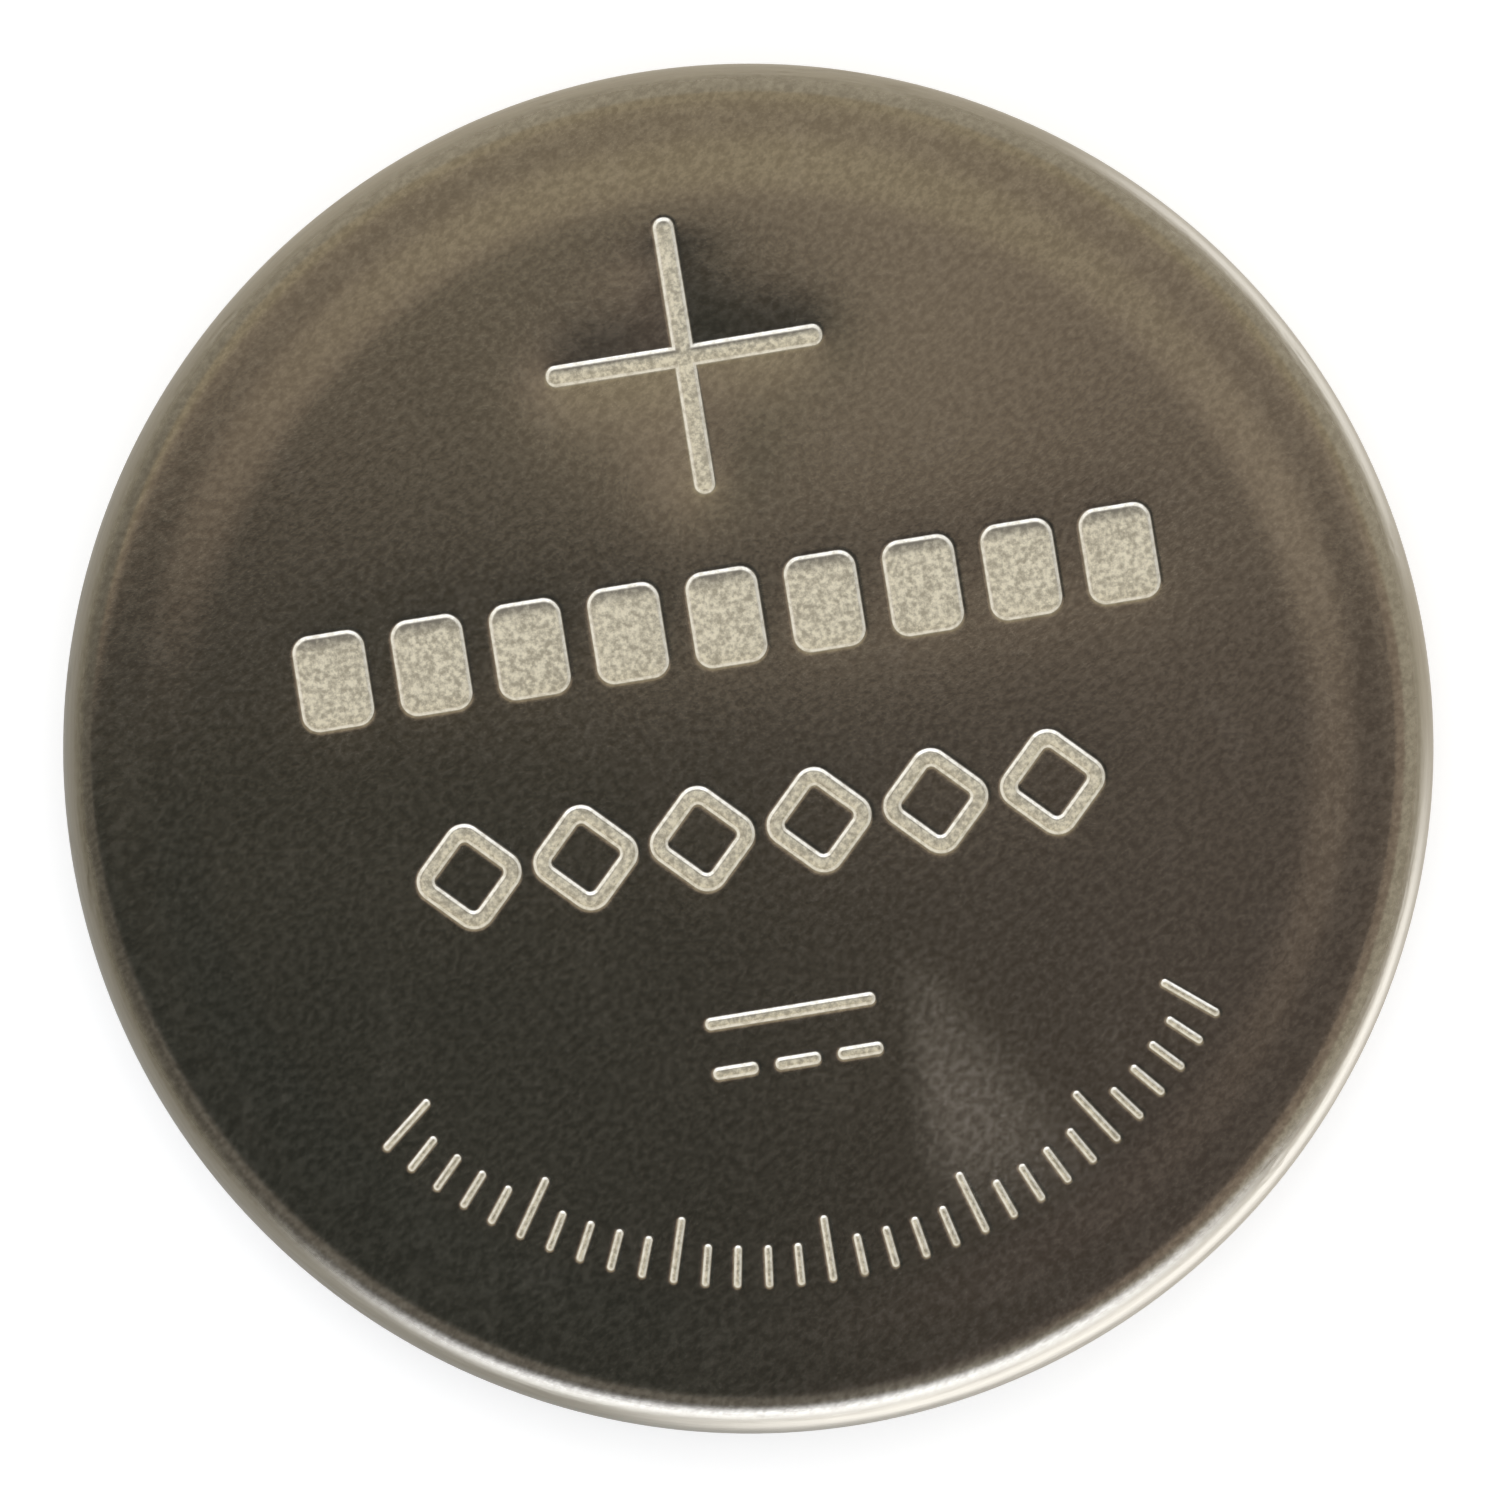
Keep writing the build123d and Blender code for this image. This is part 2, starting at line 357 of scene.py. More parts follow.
def lathe_tree():
    """Turns a half section, given as points in the XZ plane, about the Z axis."""
    tree = Shape("lathe", Segments="Int")
    section = tree.given["Geometry"]
    segments = tree.given["Segments"]
    count = tree.node("GeometryNodeAttributeDomainSize", {}, {"Geometry": section})
    grid = tree.node("GeometryNodeMeshGrid", {}, {"Vertices X": segments + 1, "Vertices Y": count})
    index = tree.node("GeometryNodeInputIndex")
    column = index.math("MODULO", count)
    angle = (index - column) / count / segments * (2 * pi)
    sampled = {"Geometry": section, "Value": tree.node("GeometryNodeInputPosition"), "Index": column}
    point = tree.node("GeometryNodeSampleIndex", {"data_type": "FLOAT_VECTOR"}, sampled)
    radius, _, height = tree.parts(point)
    place = tree.combine(radius * angle.math("COSINE"), radius * angle.math("SINE"), height)
    bent = tree.node("GeometryNodeSetPosition", {}, {"Geometry": grid, "Position": place})
    closed = tree.node("GeometryNodeMergeByDistance", {}, {"Geometry": bent, "Distance": 1e-4 * MM})
    tree.end(tree.node("GeometryNodeSetShadeSmooth", {}, {"Geometry": closed}))
    return tree


def row_tree():
    """Repeats an outline along a straight row, or round the cell's axis, about the middle of the row."""
    tree = Shape("row", Count="Int", Place="Vector", Pitch="Float", Turn="Float", Skip_Every="Int")
    count = tree.given["Count"]
    steps = tree.node("GeometryNodeInputIndex") - (count - 1) / 2
    turn = steps * tree.given["Turn"]
    middle = tree.vector_math("ADD", tree.given["Place"], tree.combine(steps * tree.given["Pitch"], 0, 0))
    turned = {"Vector": middle, "Angle": turn}
    spot = tree.node("ShaderNodeVectorRotate", {"rotation_type": "Z_AXIS"}, turned)
    line = tree.node("GeometryNodeMeshLine", {}, {"Count": count, "Offset": (0, 0, 0)})
    spots = tree.node("GeometryNodeSetPosition", {}, {"Geometry": line, "Position": spot})
    left_out = steps.math("FLOORED_MODULO", tree.given["Skip Every"]).math("COMPARE", 0, 0.1)
    kept = (1 - left_out).math("MAXIMUM", tree.given["Skip Every"].math("LESS_THAN", 1))
    placed = {
        "Points": spots,
        "Selection": kept,
        "Instance": tree.given["Geometry"],
        "Rotation": tree.combine(0, 0, turn),
    }
    tree.end(tree.node("GeometryNodeInstanceOnPoints", {}, placed))
    return tree


# ---- outlines -----------------------------------------------------------------------------
def headings(points, closed):
    """The unit direction of each run of a path."""
    ends = points[1:] + points[:1] if closed else points[1:]
    return [(Vector(b) - Vector(a)).normalized() for a, b in zip(points, ends)]


def around(points, closed):
    """For each corner of a path: the directions in and out of it, or None at a free end."""
    runs = headings(points, closed)
    if closed:
        return list(zip(runs[-1:] + runs[:-1], runs))
    return [(None, runs[0])] + list(zip(runs, runs[1:])) + [(runs[-1], None)]


def left_of(direction):
    return Vector((-direction.y, direction.x))


def spun(point, angle):
    """A point in the plane turned anticlockwise about the origin."""
    c, s = cos(angle), sin(angle)
    return Vector((point.x * c - point.y * s, point.x * s + point.y * c))


def shifted(points, rounds, distance, closed=False):
    """A path moved to its own left, and its corner radii, which keep their centres."""
    places, radii = [], []
    for point, radius, (before, after) in zip(points, rounds, around(points, closed)):
        first = left_of(before or after)
        second = left_of(after or before)
        places.append(tuple(Vector(point) + (first + second) * (distance / (1 + first.dot(second)))))
        turn = first.cross(second)
        radii.append(max(radius - distance, 0) if turn > 0 else radius + distance if radius else 0)
    return places, radii


def rounded(points, rounds, closed=False, run_step=RUN_STEP):
    """The points along a path whose corners are rounded, close enough for smooth shading."""
    path = []
    for point, radius, (before, after) in zip(points, rounds, around(points, closed)):
        corner = Vector(point)
        if not radius:
            path.append(corner)
            continue
        turn = before.angle_signed(after)
        reach = radius * tan(abs(turn) / 2)
        side = -1 if turn > 0 else 1
        centre = corner - before * reach + left_of(before) * side * radius
        count = max(4, ceil(abs(turn) / ARC_STEP))
        spoke = left_of(before) * -side * radius
        path += [centre + spun(spoke, -turn * i / count) for i in range(count + 1)]
    filled = []
    for here, there in zip(path, path[1:] + path[:1] if closed else path[1:]):
        count = max(1, ceil((there - here).length / run_step - 1e-6))
        filled += [here.lerp(there, i / count) for i in range(count)]
    return filled if closed else filled + path[-1:]


def outline_mesh(name, points, closed=False):
    """A mesh of vertices and edges along a path."""
    mesh = bpy.data.meshes.new(name)
    count = len(points)
    mesh.from_pydata(points, [(i, (i + 1) % count) for i in range(count if closed else count - 1)], [])
    return mesh


# ---- finishes -----------------------------------------------------------------------------
class Finish(Tree):
    """A procedural material. Patterns are sized in millimetres of the cell."""

    def __init__(self, name, **constants):
        self.material = bpy.data.materials.new(name)
        self.material.use_nodes = True
        super().__init__(self.material.node_tree)
        self.shader = self.node_tree.nodes["Principled BSDF"]
        for label, value in constants.items():
            self.shader.inputs[label.replace("_", " ")].default_value = value
        metres = self.node("ShaderNodeTexCoord", output="Object")
        self.place = self.vector_math("SCALE", metres)
        self.place.socket.node.inputs["Scale"].default_value = 1 / MM
        self.x, self.y, self.z = self.parts(self.place)

    def noise(self, size, detail=2, roughness=0.5, place=None):
        """Noise from 0 to 1 whose patches are about as large as size, in millimetres."""
        inputs = {
            "Vector": self.place if place is None else place,
            "Scale": 1 / size,
            "Detail": detail,
            "Roughness": roughness,
        }
        return self.node("ShaderNodeTexNoise", {}, inputs)

    def attribute(self, name):
        """A value that the mesh holds at each point."""
        return self.node("ShaderNodeAttribute", {"attribute_name": name}, output="Fac")

    def from_axis(self):
        """The distance from the cell's axis."""
        return (self.x * self.x + self.y * self.y).math("SQRT")

    def round_place(self, stretch):
        """Coordinates that run round the cell, with the way round drawn out by stretch."""
        angle = self.y.math("ARCTAN2", self.x)
        along = angle * (RADIUS / MM / stretch)
        return self.combine(along, self.from_axis(), self.z)

    def drawn_place(self, turn, stretch):
        """Coordinates with one direction, turned anticlockwise from X, drawn out by stretch."""
        along = (self.x * cos(turn) + self.y * sin(turn)) / stretch
        return self.combine(along, self.y * cos(turn) - self.x * sin(turn), self.z)

    def blend(self, factor, first, second):
        """One number changing to another."""
        return factor * (second - first) + first

    def bump(self, height, depth):
        """A normal that follows height, from 0 to 1, over a depth in millimetres."""
        inputs = {"Height": height, "Strength": 1.0, "Distance": depth * MM}
        return self.node("ShaderNodeBump", {}, inputs)

    def set(self, **links):
        """Feeds the shader's sockets, and gives the material."""
        for label, value in links.items():
            self.node_tree.links.new(value.socket, self.shader.inputs[label.replace("_", " ")])
        return self.material


def can_steel():
    """Satin nickel plating, with frosted marks and draw lines on the side wall. Painted light: highlights
    on the marks' burnished edges, shade below their upper edges, a highlight in a wedge beside the supply
    sign, and a side wall darker than its plating.
    """
    finish = Finish("nickel_can")
    pressed = finish.attribute("pressed")
    edge_shade = finish.attribute("edge_shade")
    cloud = finish.noise(3.5, detail=3)
    satin = finish.noise(0.1, detail=3, roughness=0.65, place=finish.drawn_place(radians(30), 1.35))
    frost = finish.noise(0.09, detail=3, roughness=0.65)
    wall = finish.from_axis().ramp(*WALL_BORDER)
    lines = finish.noise(0.05, detail=3, place=finish.round_place(14))
    nicks = finish.noise(0.35, detail=2, place=finish.round_place(3)).ramp(0.6, 0.72)
    floor = pressed.ramp(0.75, 0.9)
    burnish_highlight = pressed.ramp(0.03, 0.3) * (1 - floor)
    highlight_and_smears = wedge_highlight_and_smears(finish)
    grain = satin.ramp(0.3, 0.7)
    plating = finish.mixed(cloud * 0.35 + grain * 0.65, *PLATING)
    # painted highlight: the wedge is mixed towards a lighter colour
    plating = finish.mixed(highlight_and_smears * 0.2, plating, HIGHLIGHT_AND_SMEARS)
    frosted = finish.mixed(frost.ramp(0.32, 0.68), *FROST)
    # painted shade: the floors of the marks darken below their upper edges, mottled by the frost
    frosted = finish.mixed(edge_shade * (1.8 - frost * 1.6), frosted, SHADED_FROST)
    # painted highlight: the marks' burnished edges are near white
    edge_highlight = finish.mixed(frost.ramp(0.3, 0.6), *BURNISHED_HIGHLIGHT)
    # painted shade: the wall's colour is darker than the plating, with real draw lines
    shaded_drawn_wall = finish.mixed(lines, *DRAWN_WALL_SHADE)
    colour = finish.mixed(floor, plating, frosted)
    colour = finish.mixed(burnish_highlight, colour, edge_highlight)
    colour = finish.mixed(wall, colour, shaded_drawn_wall)
    gloss = 0.15 + cloud * 0.04 + satin * 0.04 + highlight_and_smears * 0.02 + wall * (lines * 0.16 + nicks * 0.08 + 0.08)
    roughness = finish.blend(floor, gloss, FROST_ROUGHNESS)
    metallic = 1 - floor * 0.6 - burnish_highlight * (edge_shade * 0.3 + 0.58)
    metallic = metallic - highlight_and_smears * (grain * 0.06 + 0.05) - grain * 0.014
    height = satin * 0.6 + floor * frost * 1.6 + wall * (lines * 1.2 - nicks * 2)
    return finish.set(
        Base_Color=colour,
        Roughness=roughness,
        Metallic=metallic,
        Normal=finish.bump(height, PLATING_RELIEF),
    )


def wedge_highlight_and_smears(finish):
    """A painted highlight in a soft wedge beside the supply sign, where the face is also a little duller,
    and faint smears from handling.
    """
    below = WEDGE_TOP - finish.y
    across = (finish.x - WEDGE_LEFT) / (below.math("MAXIMUM", 0) * 0.62 + 0.3)
    wedge = across.ramp(-0.12, 0.22) * (1 - across.ramp(0.35, 1.15))
    wedge = wedge * below.ramp(0.1, 2.8) * (1 - below.ramp(3.0, 4.8))
    smears = finish.noise(1.1, detail=3, place=finish.combine(finish.x * 1.8, finish.y * 0.7, finish.z))
    return wedge + smears.ramp(0.56, 0.8) * 0.22


def cap_steel():
    """Nickel plating with the fine matt peening of the negative contact."""
    finish = Finish("nickel_cap", Metallic=1.0)
    peened = finish.noise(0.16, detail=2, roughness=0.6)
    cloud = finish.noise(2.5, detail=2)
    colour = finish.mixed(cloud, (0.50, 0.48, 0.43, 1), (0.57, 0.545, 0.49, 1))
    roughness = 0.3 + peened * 0.12
    return finish.set(Base_Color=colour, Roughness=roughness, Normal=finish.bump(peened, 0.012))


def gasket_plastic():
    """Natural polypropylene, a little cloudy, with faint flow lines from its mould."""
    finish = Finish("polypropylene", IOR=1.49)
    flow = finish.noise(0.2, detail=3, place=finish.round_place(10))
    cloud = finish.noise(1.2, detail=2)
    colour = finish.mixed(cloud, (0.50, 0.49, 0.45, 1), (0.60, 0.59, 0.55, 1))
    return finish.set(Base_Color=colour, Roughness=0.42 + flow * 0.12, Normal=finish.bump(flow, 0.004))


def lithium_metal():
    """Soft rolled lithium, dulled in patches, with rolling lines along X."""
    finish = Finish("lithium_disc", Metallic=1.0)
    rolled = finish.noise(0.12, detail=3, place=finish.drawn_place(0, 20))
    dull = finish.noise(1.8, detail=4).ramp(0.45, 0.7)
    colour = finish.mixed(dull, (0.62, 0.63, 0.65, 1), (0.38, 0.38, 0.40, 1))
    roughness = finish.blend(dull, 0.38 + rolled * 0.1, 0.62)
    return finish.set(Base_Color=colour, Roughness=roughness, Normal=finish.bump(rolled, 0.006))


def separator_fleece():
    """Non-woven fibres lying every way, drawn as three layers of stretched noise."""
    finish = Finish("separator_fleece", Roughness=0.85)
    layers = [finish.noise(0.07, place=finish.drawn_place(radians(60 * i + 12), 8)) for i in range(3)]
    fibres = layers[0].math("MAXIMUM", layers[1]).math("MAXIMUM", layers[2]).ramp(0.5, 0.72)
    colour = finish.mixed(fibres, (0.60, 0.59, 0.55, 1), (0.82, 0.81, 0.78, 1))
    return finish.set(Base_Color=colour, Normal=finish.bump(fibres, 0.02))


def cathode_mix():
    """Pressed black powder with a grain that shows at its edges."""
    finish = Finish("cathode_mix")
    coarse = finish.node("ShaderNodeTexVoronoi", {}, {"Vector": finish.place, "Scale": 1 / 0.16})
    fine = finish.noise(0.04, detail=2)
    colour = finish.mixed(fine, (0.018, 0.018, 0.019, 1), (0.055, 0.053, 0.05, 1))
    height = coarse * 0.6 + fine * 0.4
    return finish.set(Base_Color=colour, Roughness=0.62 + fine * 0.25, Normal=finish.bump(height, 0.015))


def collector_steel():
    """Bright stainless sheet with rolling lines along X."""
    finish = Finish("collector_steel", Metallic=1.0)
    rolled = finish.noise(0.03, detail=3, place=finish.drawn_place(0, 25))
    colour = finish.mixed(rolled, (0.52, 0.52, 0.51, 1), (0.60, 0.60, 0.59, 1))
    roughness = 0.22 + rolled * 0.15
    return finish.set(Base_Color=colour, Roughness=roughness, Normal=finish.bump(rolled, 0.002))


# ---- turned pieces ------------------------------------------------------------------------
def pressed_sheet(corners, rounds, inward):
    """The closed half section of a pressed sheet: outside surface, sheared edge, inside surface."""
    inner, inner_rounds = shifted(corners, rounds, SHEET * inward)
    edge_rounds = rounds[:-1] + [SHEARED_ROUND]
    inner_rounds[-1] = SHEARED_ROUND
    return corners + inner[::-1], edge_rounds + inner_rounds[::-1]


def turned(name, corners, rounds, material, closed=False):
    """The plain mesh of a half section turned about the cell's axis."""
    path = rounded(corners, rounds, closed=closed)
    if closed:
        path.append(path[0])
    section = outline_mesh(name + "_section", [(p.x, 0, p.y) for p in path])
    return LATHE.grow(name, section, material, Segments=SEGMENTS)


def outside_of_can():
    """Corners and radii of the can's outside surface, from the middle of its face to its edge."""
    corners = [
        (0, HEIGHT),
        (PLATEAU_R, HEIGHT),
        (PLATEAU_R + STEP_WIDTH, HEIGHT - PLATEAU_STEP),
        (RADIUS, HEIGHT - PLATEAU_STEP - RING_FALL),
        (RADIUS, CAP_PROUD),
        (CRIMP_EDGE_R, CAP_PROUD),
    ]
    return corners, [0, STEP_ROUND, STEP_ROUND, RIM_ROUND, CRIMP_ROUND, 0]


def can_shell(material):
    """The can from the edge of its stamped face outwards, round the crimp and back inside."""
    corners, rounds = pressed_sheet(*outside_of_can(), inward=-1)
    path = rounded(corners, rounds)
    start = next(i for i, p in enumerate(path) if p.x > FACE_R)
    before, after = path[start - 1], path[start]
    edge = before.lerp(after, (FACE_R - before.x) / (after.x - before.x))
    path = [edge] + path[start:]
    section = outline_mesh("can_section", [(p.x, 0, p.y) for p in path])
    return LATHE.grow("can_shell", section, material, Segments=SEGMENTS), edge.y


# ---- stamped face -------------------------------------------------------------------------
def bar_corners(length, width):
    """A rectangle about the origin, anticlockwise."""
    return [(x * length / 2, y * width / 2) for x, y in ((-1, -1), (1, -1), (1, 1), (-1, 1))]


def plus_corners():
    """The twelve corners of a plus about the origin, anticlockwise, and their radii."""
    arm, half = PLUS_SPAN / 2, PLUS_STROKE / 2
    quarter = [(arm, -half), (arm, half), (half, half)]
    end = LINE_END * PLUS_STROKE
    corners, rounds = [], []
    for turn in range(4):
        corners += [tuple(spun(Vector(p), pi / 2 * turn)) for p in quarter]
        rounds += [end, end, 0]
    return corners, rounds


def outward(path, side):
    """The unit direction out of the mark at each point of one of its loops."""
    before = path[-1:] + path[:-1]
    after = path[1:] + path[:1]
    runs = [(Vector(b) - Vector(a)).normalized() for a, b in zip(before, after)]
    return [left_of(run) * -side for run in runs]


def stamp(name, stroke, pull, *outlines, turn=0):
    """A mark's nested loops as a mesh of edges. A negative side is an island.

    Each point has its depth, the pull of its mark, and how much painted shade it takes below an upper
    edge.
    """
    points, edges, depths, edge_shades = [], [], [], []
    steps = [step for step in PRESS_STEPS if -step[0] * MM < STROKE_ROOM * stroke]
    steps[-1] = (steps[-1][0], 1)
    for corners, rounds, side in outlines:
        for outside, depth in steps:
            moved = shifted(corners, rounds, -outside * MM * side, closed=True)
            path = rounded(*moved, closed=True, run_step=OUTLINE_STEP)
            first = len(points)
            points += [spun(p, turn).to_3d() for p in path]
            edges += [(first + i, first + (i + 1) % len(path)) for i in range(len(path))]
            depths += [depth] * len(path)
            shade_share = min(1, (1 - depth) * EDGE_SHADE_FADE)
            # painted shade lies below the edges that face up, and fades as the floor gets deeper
            edge_shades += [max(0, spun(p, turn).y) * shade_share for p in outward(path, side)]
    mesh = bpy.data.meshes.new(name)
    mesh.from_pydata(points, edges, [])
    for label, values in {"pressed": depths, "pull": [pull] * len(points), "edge_shade": edge_shades}.items():
        mesh.attributes.new(label, "FLOAT", "POINT").data.foreach_set("value", values)
    return mesh


def line_stamp(name, length, width, pull, turn=0):
    """A line along X with rounded ends."""
    return stamp(name, width, pull, (bar_corners(length, width), [LINE_END * width] * 4, 1), turn=turn)


def diamond_stamp():
    """A rounded square on its corner, with an island left inside."""
    island = DIAMOND_SIDE - 2 * DIAMOND_STROKE
    outer = (bar_corners(DIAMOND_SIDE, DIAMOND_SIDE), [DIAMOND_CORNER] * 4, 1)
    inner = (bar_corners(island, island), [ISLAND_CORNER] * 4, -1)
    return stamp("diamond", DIAMOND_STROKE, DIAMOND_PULL, outer, inner, turn=pi / 4)


def all_marks(material):
    """The loops of every mark on the face, as meshes of edges."""
    supply_w, supply_h = SUPPLY_SIZE
    dash_pitch = supply_w / (SUPPLY_DASHES - 1 + SUPPLY_DASH_FILL)
    half_gap = (supply_h - SUPPLY_STROKE) / 2
    long_count = (TICK_COUNT - 1) // TICKS_PER_LONG + 1
    plus = stamp("plus", PLUS_STROKE, PLUS_PULL, (*plus_corners(), 1))
    block = stamp("block", BLOCK_SIZE[0], BLOCK_PULL, (bar_corners(*BLOCK_SIZE), [BLOCK_CORNER] * 4, 1))
    bar = line_stamp("bar", supply_w, SUPPLY_STROKE, LINE_PULL)
    dash = line_stamp("dash", dash_pitch * SUPPLY_DASH_FILL, SUPPLY_STROKE, LINE_PULL)
    short = line_stamp("short_tick", TICK_SHORT, TICK_STROKE, TICK_PULL, turn=pi / 2)
    long = line_stamp("long_tick", TICK_LONG, TICK_STROKE, TICK_PULL, turn=pi / 2)

    def row(mesh, y, count=1, pitch=0.0, turn=0.0, skip=0):
        values = {"Count": count, "Place": (0, y, 0), "Pitch": pitch, "Turn": turn, "Skip_Every": skip}
        return ROW.grow("marks", mesh, material, **values)

    return [
        row(plus, PLUS_Y),
        row(block, BLOCK_Y, BLOCK_COUNT, BLOCK_PITCH),
        row(diamond_stamp(), DIAMOND_Y, DIAMOND_COUNT, DIAMOND_PITCH),
        row(bar, SUPPLY_Y + half_gap),
        row(dash, SUPPLY_Y - half_gap, SUPPLY_DASHES, dash_pitch),
        row(short, TICK_SHORT / 2 - TICK_R, TICK_COUNT, turn=TICK_TURN, skip=TICKS_PER_LONG),
        row(long, TICK_LONG / 2 - TICK_R, long_count, turn=TICK_TURN * TICKS_PER_LONG),
    ]


def ring_points(radius, count):
    return [(radius * cos(2 * pi * i / count), radius * sin(2 * pi * i / count)) for i in range(count)]


def face_points(marks):
    """Every point of the face in the plane, its depth, pull and painted shade, and the edges that must be
    kept.
    """
    points = ring_points(FACE_R, SEGMENTS)
    edges = [(i, (i + 1) % SEGMENTS) for i in range(SEGMENTS)]
    traits = [(0.0, 0.0, 0.0)] * SEGMENTS
    for mesh in marks:
        first = len(points)
        points += [(v.co.x, v.co.y) for v in mesh.vertices]
        columns = [[d.value for d in mesh.attributes[label].data] for label in ("pressed", "pull", "edge_shade")]
        traits += zip(*columns)
        edges += [(first + e.vertices[0], first + e.vertices[1]) for e in mesh.edges]
    near = kdtree.KDTree(len(points))
    for i, (x, y) in enumerate(points):
        near.insert((x, y, 0), i)
    near.balance()
    rings = int(FACE_R / FACE_GRAIN)
    grain = []
    for ring in range(rings):
        radius = FACE_R * ring / rings
        grain += ring_points(radius, max(1, round(2 * pi * radius / FACE_GRAIN)))
    grain = [p for p in grain if near.find((*p, 0))[2] > FACE_GRAIN / 2]
    floors = [(points[a], points[b]) for a, b in edges if traits[a][0] == 1]
    brinks = [(points[a], points[b]) for a, b in edges if traits[a][0] == BRINK]
    on_floor = within(grain, floors)
    in_brink = within(grain, brinks)
    kept = [(p, on) for p, on, brink in zip(grain, on_floor, in_brink) if on == brink]
    traits += [(float(on), traits[near.find((*p, 0))[1]][1], 0.0) for p, on in kept]
    return points + [p for p, _ in kept], np.array(traits).T, edges


def within(points, edges):
    """Which points lie inside the loops that the edges make: an odd number of edges is to their right."""
    (x1, y1), (x2, y2) = np.array(edges).transpose(1, 2, 0)
    slope = (x2 - x1) / np.where(y1 == y2, 1, y2 - y1)
    inside = []
    for x, y in points:
        level = (y1 > y) != (y2 > y)
        inside.append(np.count_nonzero(level & (x < x1 + (y - y1) * slope)) % 2 == 1)
    return inside


def inset(places, width):
    """0 at the edge of the stamped face, 1 from a width inside it, and a soft change between them."""
    share = np.clip((FACE_R - np.hypot(*places.T)) / width, 0, 1)
    return share**2 * (3 - 2 * share)


def dish(flat, depths, pulls, triangles):
    """How far the sheet sinks at each point: the pull of the pressed area around it, softly spread."""
    triangles = triangles[np.all(depths[triangles] > PRESSED, axis=1)]
    corners = flat[triangles]
    spokes = corners[:, 1:] - corners[:, :1]
    areas = np.abs(spokes[:, 0, 0] * spokes[:, 1, 1] - spokes[:, 0, 1] * spokes[:, 1, 0]) / 2
    middles = corners.mean(axis=1)
    areas *= pulls[triangles].mean(axis=1) * inset(middles, PULL_FADE)
    sunk = np.zeros(len(flat))
    for i, place in enumerate(flat):
        gaps = np.hypot(*(middles - place).T)
        sunk[i] = np.exp(-gaps / DISH_SPREAD) @ areas / (2 * pi * DISH_SPREAD**2)
    return DISH_DEPTH * sunk * inset(flat, DISH_FADE)


def stamped_face(material, edge_z):
    """The positive face out to the shell, with its marks pressed in and the sheet dished round them."""
    points, traits, edges = face_points(all_marks(material))
    scaled = [Vector(p) / MM for p in points]
    flat, _, triangles, origins, _, _ = delaunay_2d_cdt(scaled, edges, [], 0, 1e-7, True)
    depths, pulls, edge_shades = traits[:, [o[0] for o in origins]]
    flat = np.array([tuple(p) for p in flat]) * MM
    triangles = np.array(triangles)
    sunk = dish(flat, depths, pulls, triangles)
    reach = np.hypot(flat[:, 0], flat[:, 1])
    shoulder = PLATEAU_R - STEP_ROUND * tan(atan(PLATEAU_STEP / STEP_WIDTH) / 2)
    fall = np.maximum(reach - shoulder, 0) ** 2 / (2 * STEP_ROUND)
    heights = HEIGHT - fall - MARK_DEPTH * depths - sunk
    heights[reach > FACE_R - ON_EDGE] = edge_z
    mesh = bpy.data.meshes.new("stamped_face")
    mesh.from_pydata(np.column_stack((flat, heights)).tolist(), [], triangles.tolist())
    mesh.attributes.new("pressed", "FLOAT", "POINT").data.foreach_set("value", depths)
    mesh.attributes.new("edge_shade", "FLOAT", "POINT").data.foreach_set("value", edge_shades)
    mesh.polygons.foreach_set("use_smooth", [True] * len(triangles))
    mesh.materials.append(material)
    return mesh


# ---- pieces -------------------------------------------------------------------------------
def add_piece(name, meshes, node):
    """Joins meshes into one closed piece that stands for a CAD node."""
    joined = bmesh.new()
    for mesh in meshes:
        joined.from_mesh(mesh)
    bmesh.ops.remove_doubles(joined, verts=joined.verts, dist=MERGE_GAP)
    bmesh.ops.recalc_face_normals(joined, faces=joined.faces)
    whole = bpy.data.meshes.new(name)
    for material in meshes[0].materials:
        whole.materials.append(material)
    joined.to_mesh(whole)
    joined.free()
    piece = bpy.data.objects.new(name, whole)
    bpy.context.scene.collection.objects.link(piece)
    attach(piece, "root")
    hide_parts(node)
    return piece


def make_can():
    material = can_steel()
    shell, edge_z = can_shell(material)
    return add_piece("can", [stamped_face(material, edge_z), shell], "positive_can")


def make_cap():
    shelf_z = CAP_PROUD + SHEET + GASKET_WALL
    corners = [(0, 0), (NECK_R, 0), (NECK_R, shelf_z), (SKIRT_R, shelf_z), (SKIRT_R, SKIRT_TOP)]
    rounds = [0, CONTACT_ROUND, NECK_ROUND, CRIMP_ROUND - SHEET - GASKET_WALL, 0]
    section = pressed_sheet(corners, rounds, inward=1)
    return add_piece("cap", [turned("cap", *section, cap_steel())], "negative_cap")


